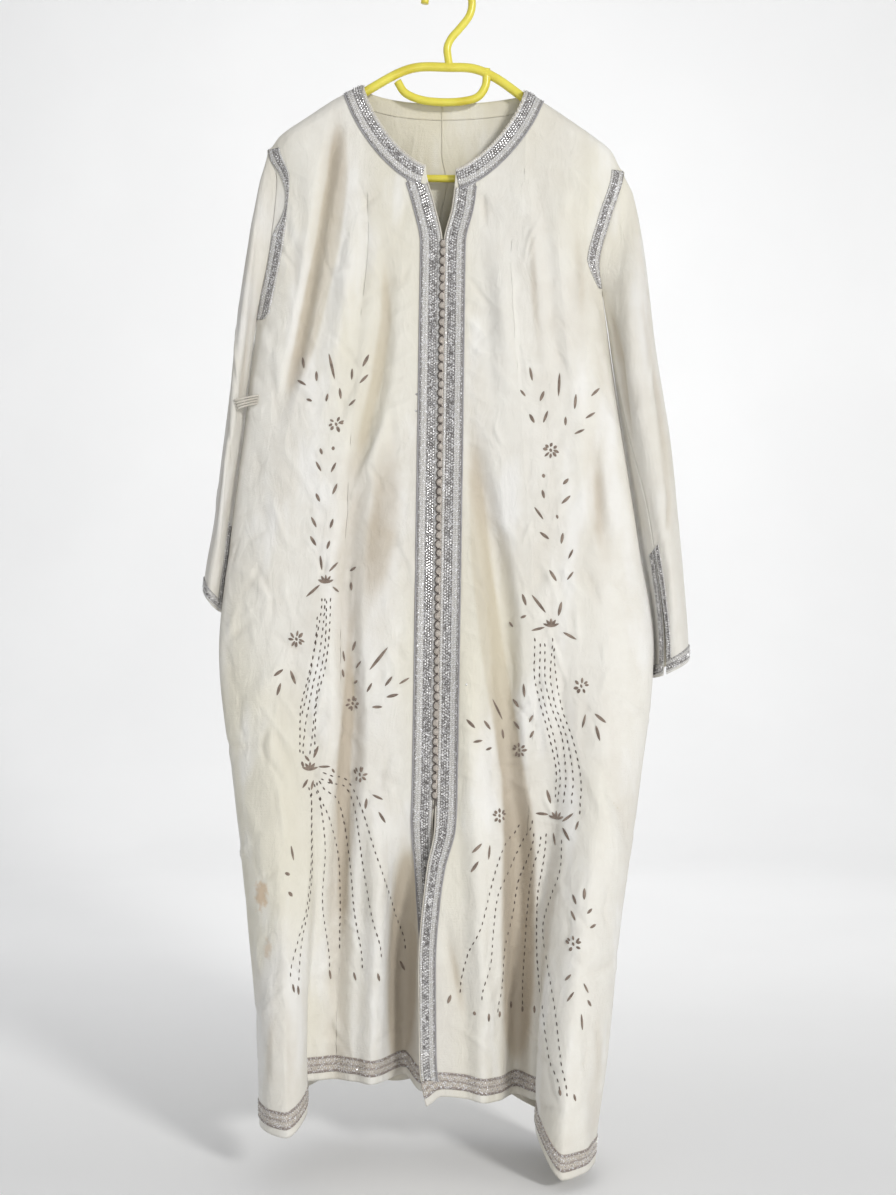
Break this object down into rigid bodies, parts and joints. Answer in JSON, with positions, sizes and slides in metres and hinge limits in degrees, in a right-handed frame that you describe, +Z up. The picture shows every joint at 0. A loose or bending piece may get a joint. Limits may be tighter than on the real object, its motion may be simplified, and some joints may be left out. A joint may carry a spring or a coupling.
{
  "type": "kaftan on a hanger",
  "caption": "Long-sleeved ankle-length kaftan of pale silk-like cloth with silver braid, knot buttons and stitched leaves, hanging on a yellow plastic hanger.",
  "frame": {"origin": "the point inside the top of the hanger's hook where a rail carries it", "axes": "+Z up, the front of the kaftan faces -Y, the wearer's left is +X"},
  "size_m": [0.6522, 0.2374, 1.556],
  "materials": {
    "silk_cloth": "smooth satin cloth with a soft sheen, creased",
    "metallic_braid": "woven silver-grey metallic braid with small clear stones",
    "knot_cord": "worked thread knots, matte",
    "yellow_plastic": "smooth moulded plastic"
  },
  "bodies": {
    "root": {"front_right": "silk_cloth", "front_left": "silk_cloth", "back": "silk_cloth", "sleeve_right": "silk_cloth", "sleeve_left": "silk_cloth", "collar_right": "metallic_braid", "collar_left": "metallic_braid", "collar_back": "metallic_braid", "centre_braid_right": "metallic_braid", "centre_braid_left": "metallic_braid", "armhole_braid_right": "metallic_braid", "armhole_braid_left": "metallic_braid", "hem_braid_right": "metallic_braid", "hem_braid_left": "metallic_braid", "hem_braid_back": "metallic_braid", "cuff_braid_right": "metallic_braid", "cuff_braid_left": "metallic_braid", "slit_braid_front_right": "metallic_braid", "slit_braid_back_right": "metallic_braid", "slit_braid_front_left": "metallic_braid", "slit_braid_back_left": "metallic_braid", "belt_loop": "metallic_braid", "buttons": "knot_cord", "hanger": "yellow_plastic"}
  },
  "joints": []
}
